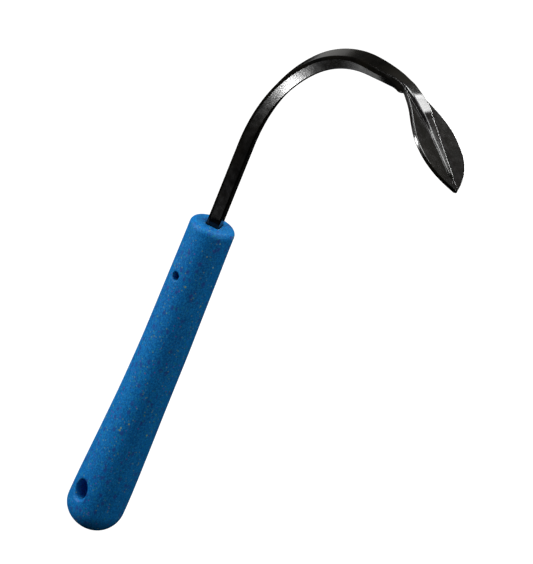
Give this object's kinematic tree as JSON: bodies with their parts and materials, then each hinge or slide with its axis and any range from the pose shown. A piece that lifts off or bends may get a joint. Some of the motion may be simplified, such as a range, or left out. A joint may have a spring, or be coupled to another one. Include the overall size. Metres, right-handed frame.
{
  "type": "hoof pick",
  "caption": "Rigid hoof pick: round tapered handle with a hanging hole, and a wide steel hook that ends in a ribbed leaf-shaped blade.",
  "frame": {"origin": "centre of the small flat at the handle's butt", "axes": "+Z along the handle towards the hook; the hook bends towards +X in the plane Y = 0; both cross holes run along Y"},
  "size_m": [0.1515, 0.0306, 0.3091],
  "materials": {
    "handle_plastic": "recycled plastic, mid blue with fine yellow, green and violet flecks, slightly rough moulded skin",
    "black_steel": "satin black coated forged steel",
    "pin_steel": "dark spring steel"
  },
  "bodies": {
    "root": {"handle": "handle_plastic", "hook": "black_steel", "tang_pin": "pin_steel"}
  },
  "joints": []
}
